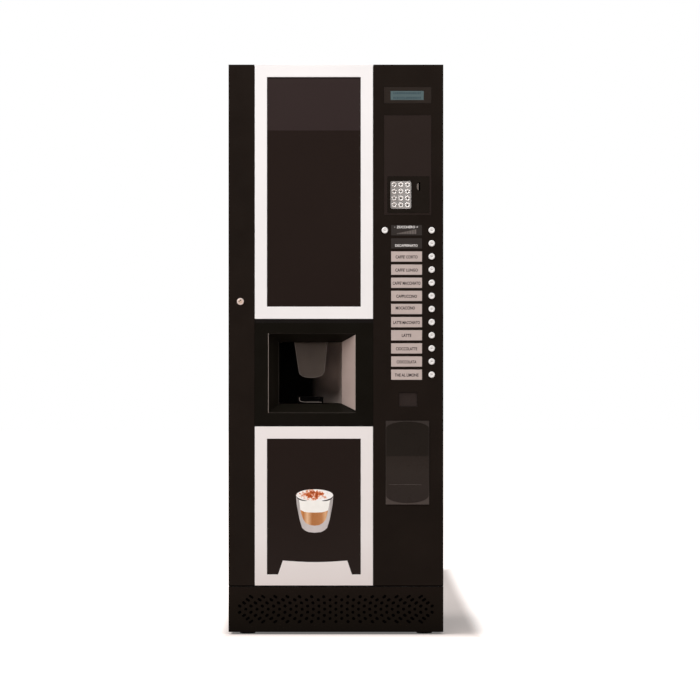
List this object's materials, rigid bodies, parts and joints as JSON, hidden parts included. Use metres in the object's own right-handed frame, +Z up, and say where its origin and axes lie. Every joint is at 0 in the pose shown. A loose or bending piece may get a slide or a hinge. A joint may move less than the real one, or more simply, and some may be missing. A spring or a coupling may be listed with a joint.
{
  "type": "hot coffee vending machine",
  "caption": "Free-standing hot drinks vending machine: steel cabinet, hinged front door with poster panels, cup bay, push buttons and keypad, drink works inside.",
  "frame": {"origin": "on the floor under the middle of the machine's overall box", "axes": "+Z up, the front door faces -Y, +X to the right seen from the front (the hinge side)"},
  "size_m": [0.69, 0.735, 1.83],
  "materials": {
    "black_paint": "black powder coat, satin",
    "door_core": "black moulded structural foam",
    "silver_trim": "light silver lacquer, satin",
    "dark_gloss": "dark glossy sheet",
    "black_plastic": "black moulded plastic, fine grain",
    "grey_plastic": "dark grey moulded plastic",
    "white_plastic": "white button plastic",
    "zinc_sheet": "zinc coated sheet steel",
    "steel": "brushed stainless steel",
    "chrome": "polished",
    "brass": "nickel brass lock plug",
    "clear_plastic": "clear acrylic",
    "canister_plastic": "translucent food plastic",
    "pale_plastic": "pale moulded plastic",
    "machine_metal": "cast and machined aluminium",
    "rubber": "moulded rubber",
    "works_plastic": "grey engineering plastic",
    "card_holder": "dark glossy card holder"
  },
  "bodies": {
    "cabinet": {"base_pan": "zinc_sheet", "kick_grille": "black_paint", "cabinet_left_side": "black_paint", "cabinet_right_side": "black_paint", "cabinet_roof": "black_paint", "rear_cover": "zinc_sheet", "foot_front_left": "rubber", "foot_front_right": "rubber", "foot_rear_left": "rubber", "foot_rear_right": "rubber", "hinge_bracket_top": "zinc_sheet", "hinge_bracket_bottom": "zinc_sheet", "component_shelf": "zinc_sheet", "bean_hopper": "clear_plastic", "coffee_grinder": "machine_metal", "brew_unit": "works_plastic", "powder_canister_1": "canister_plastic", "powder_canister_2": "canister_plastic", "powder_canister_3": "canister_plastic", "mixer_bank": "pale_plastic", "boiler": "machine_metal", "waste_bin": "works_plastic", "control_box": "works_plastic"},
    "door": {"door_frame": "door_core", "left_fascia": "black_paint", "control_fascia": "black_paint", "upper_frame": "silver_trim", "upper_panel": "dark_gloss", "bay_fascia": "black_plastic", "bay_niche": "black_plastic", "nozzle_cover": "grey_plastic", "drip_stand": "black_plastic", "lower_frame": "silver_trim", "lower_panel": "dark_gloss", "display_module": "grey_plastic", "payment_panel": "grey_plastic", "keypad_terminal": "black_plastic", "keypad_mat": "steel", "coin_mech": "works_plastic", "coin_cup": "black_plastic", "info_holder": "card_holder", "lock_housing": "chrome"},
    "lock": {"lock_plug": "brass"},
    "latch": {"latch_bar": "zinc_sheet"},
    "delivery_flap": {"delivery_door": "clear_plastic"},
    "coin_return_flap": {"coin_flap": "grey_plastic"},
    "magazine": {"cup_magazine": "pale_plastic"},
    "button_sugar_less_cap": {"button_sugar_less": "white_plastic"},
    "button_sugar_more_cap": {"button_sugar_more": "white_plastic"},
    "button_drink_1_cap": {"button_drink_1": "white_plastic"},
    "button_drink_2_cap": {"button_drink_2": "white_plastic"},
    "button_drink_3_cap": {"button_drink_3": "white_plastic"},
    "button_drink_4_cap": {"button_drink_4": "white_plastic"},
    "button_drink_5_cap": {"button_drink_5": "white_plastic"},
    "button_drink_6_cap": {"button_drink_6": "white_plastic"},
    "button_drink_7_cap": {"button_drink_7": "white_plastic"},
    "button_drink_8_cap": {"button_drink_8": "white_plastic"},
    "button_drink_9_cap": {"button_drink_9": "white_plastic"},
    "button_drink_10_cap": {"button_drink_10": "white_plastic"},
    "button_drink_11_cap": {"button_drink_11": "white_plastic"}
  },
  "joints": [
    {"name": "door_swing", "type": "hinge", "parent": "cabinet", "child": "door", "pos_m": [0.333, -0.335, 1], "axis": [0, 0, 1], "range_deg": [0, 110]},
    {"name": "lock_turn", "type": "hinge", "parent": "door", "child": "lock", "pos_m": [-0.3068, -0.3653, 1.0697], "axis": [0, -1, 0], "range_deg": [0, 90]},
    {"name": "latch_slide", "type": "slide", "parent": "door", "child": "latch", "axis": [0, 0, 1], "range_m": [0, 0.0198]},
    {"name": "delivery_flap_swing", "type": "hinge", "parent": "door", "child": "delivery_flap", "pos_m": [-0.1802, -0.3235, 0.8398], "axis": [0, 0, -1], "range_deg": [0, 100], "stiffness_Nm_per_rad": 0.06, "springref_deg": -22.92},
    {"name": "coin_flap_swing", "type": "hinge", "parent": "door", "child": "coin_return_flap", "pos_m": [0.2316, -0.356, 0.7745], "axis": [1, 0, 0], "range_deg": [0, 65], "stiffness_Nm_per_rad": 0.003, "springref_deg": -28.65},
    {"name": "cup_magazine_turn", "type": "hinge", "parent": "cabinet", "child": "magazine", "pos_m": [-0.2, -0.0097, 1.403], "axis": [0, 0, 1], "continuous": true},
    {"name": "button_sugar_less_press", "type": "slide", "parent": "door", "child": "button_sugar_less_cap", "axis": [0, 1, 0], "range_m": [0, 0.0025], "stiffness_N_per_m": 300, "springref_m": -0.004},
    {"name": "button_sugar_more_press", "type": "slide", "parent": "door", "child": "button_sugar_more_cap", "axis": [0, 1, 0], "range_m": [0, 0.0025], "stiffness_N_per_m": 300, "springref_m": -0.004},
    {"name": "button_drink_1_press", "type": "slide", "parent": "door", "child": "button_drink_1_cap", "axis": [0, 1, 0], "range_m": [0, 0.0025], "stiffness_N_per_m": 300, "springref_m": -0.004},
    {"name": "button_drink_2_press", "type": "slide", "parent": "door", "child": "button_drink_2_cap", "axis": [0, 1, 0], "range_m": [0, 0.0025], "stiffness_N_per_m": 300, "springref_m": -0.004},
    {"name": "button_drink_3_press", "type": "slide", "parent": "door", "child": "button_drink_3_cap", "axis": [0, 1, 0], "range_m": [0, 0.0025], "stiffness_N_per_m": 300, "springref_m": -0.004},
    {"name": "button_drink_4_press", "type": "slide", "parent": "door", "child": "button_drink_4_cap", "axis": [0, 1, 0], "range_m": [0, 0.0025], "stiffness_N_per_m": 300, "springref_m": -0.004},
    {"name": "button_drink_5_press", "type": "slide", "parent": "door", "child": "button_drink_5_cap", "axis": [0, 1, 0], "range_m": [0, 0.0025], "stiffness_N_per_m": 300, "springref_m": -0.004},
    {"name": "button_drink_6_press", "type": "slide", "parent": "door", "child": "button_drink_6_cap", "axis": [0, 1, 0], "range_m": [0, 0.0025], "stiffness_N_per_m": 300, "springref_m": -0.004},
    {"name": "button_drink_7_press", "type": "slide", "parent": "door", "child": "button_drink_7_cap", "axis": [0, 1, 0], "range_m": [0, 0.0025], "stiffness_N_per_m": 300, "springref_m": -0.004},
    {"name": "button_drink_8_press", "type": "slide", "parent": "door", "child": "button_drink_8_cap", "axis": [0, 1, 0], "range_m": [0, 0.0025], "stiffness_N_per_m": 300, "springref_m": -0.004},
    {"name": "button_drink_9_press", "type": "slide", "parent": "door", "child": "button_drink_9_cap", "axis": [0, 1, 0], "range_m": [0, 0.0025], "stiffness_N_per_m": 300, "springref_m": -0.004},
    {"name": "button_drink_10_press", "type": "slide", "parent": "door", "child": "button_drink_10_cap", "axis": [0, 1, 0], "range_m": [0, 0.0025], "stiffness_N_per_m": 300, "springref_m": -0.004},
    {"name": "button_drink_11_press", "type": "slide", "parent": "door", "child": "button_drink_11_cap", "axis": [0, 1, 0], "range_m": [0, 0.0025], "stiffness_N_per_m": 300, "springref_m": -0.004}
  ],
  "couplings": [
    {"joint": "lock_turn", "follows": "latch_slide", "rad_per_m": 79.32}
  ]
}
